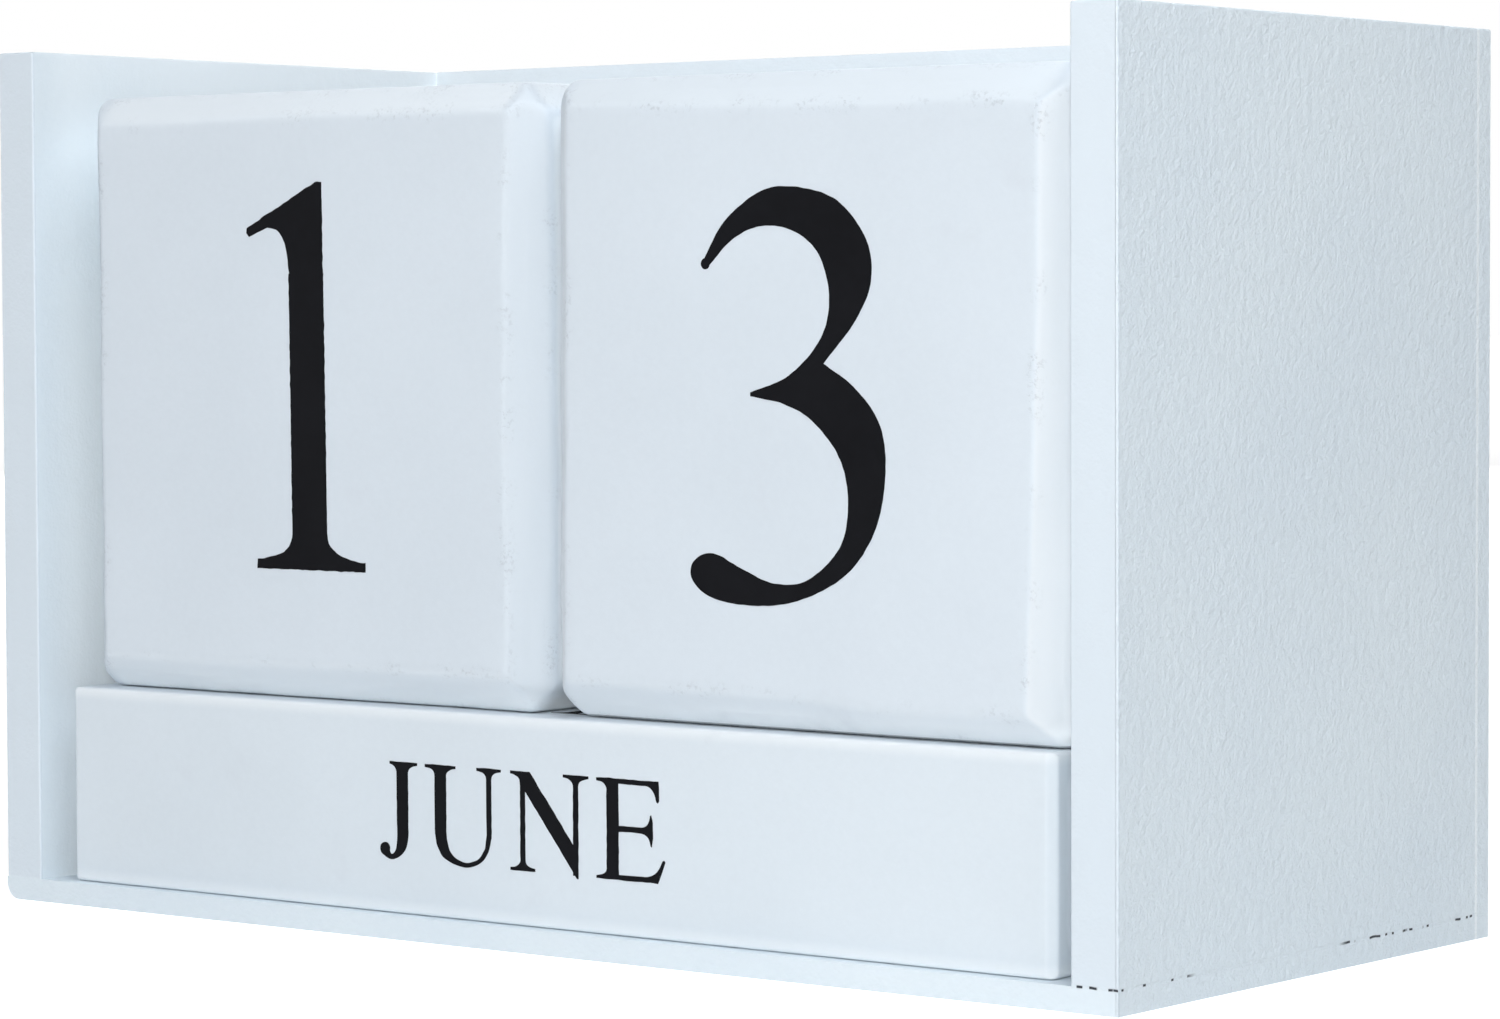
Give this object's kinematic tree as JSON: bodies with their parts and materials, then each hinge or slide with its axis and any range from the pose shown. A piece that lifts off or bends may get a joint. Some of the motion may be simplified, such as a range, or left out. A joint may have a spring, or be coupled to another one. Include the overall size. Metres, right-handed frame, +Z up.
{
  "type": "perpetual block calendar",
  "caption": "Painted wooden block calendar: open tray of boards holding number cubes on loose month bars that show the date.",
  "frame": {"origin": "middle of the footprint, on the table under the base board", "axes": "+Z up, +X to the viewer's right along the tray's width, +Y to the back, away from the viewer"},
  "size_m": [0.15, 0.07, 0.095],
  "materials": {
    "tray_paint": "cool white satin paint over fibreboard",
    "block_paint": "cool white satin paint over solid wood, black printed numerals"
  },
  "bodies": {
    "tray": {"base_board": "tray_paint", "left_side_panel": "tray_paint", "right_side_panel": "tray_paint", "back_panel": "tray_paint"},
    "left_cube": {"left_number_cube": "block_paint"},
    "right_cube": {"right_number_cube": "block_paint"},
    "rear_bar": {"month_bar_rear": "block_paint"},
    "middle_bar": {"month_bar_middle": "block_paint"},
    "front_bar": {"month_bar_front": "block_paint"}
  },
  "joints": [
    {"name": "left_cube_lift", "type": "slide", "parent": "tray", "child": "left_cube", "axis": [0, 0, 1], "range_m": [0, 0.08]},
    {"name": "right_cube_lift", "type": "slide", "parent": "tray", "child": "right_cube", "axis": [0, 0, 1], "range_m": [0, 0.08]},
    {"name": "rear_bar_push", "type": "slide", "parent": "tray", "child": "rear_bar", "axis": [0, -1, 0], "range_m": [0, 0.075]},
    {"name": "middle_bar_push", "type": "slide", "parent": "rear_bar", "child": "middle_bar", "axis": [0, -1, 0], "range_m": [0, 0.052]},
    {"name": "front_bar_pull", "type": "slide", "parent": "middle_bar", "child": "front_bar", "axis": [0, -1, 0], "range_m": [0, 0.03]}
  ]
}
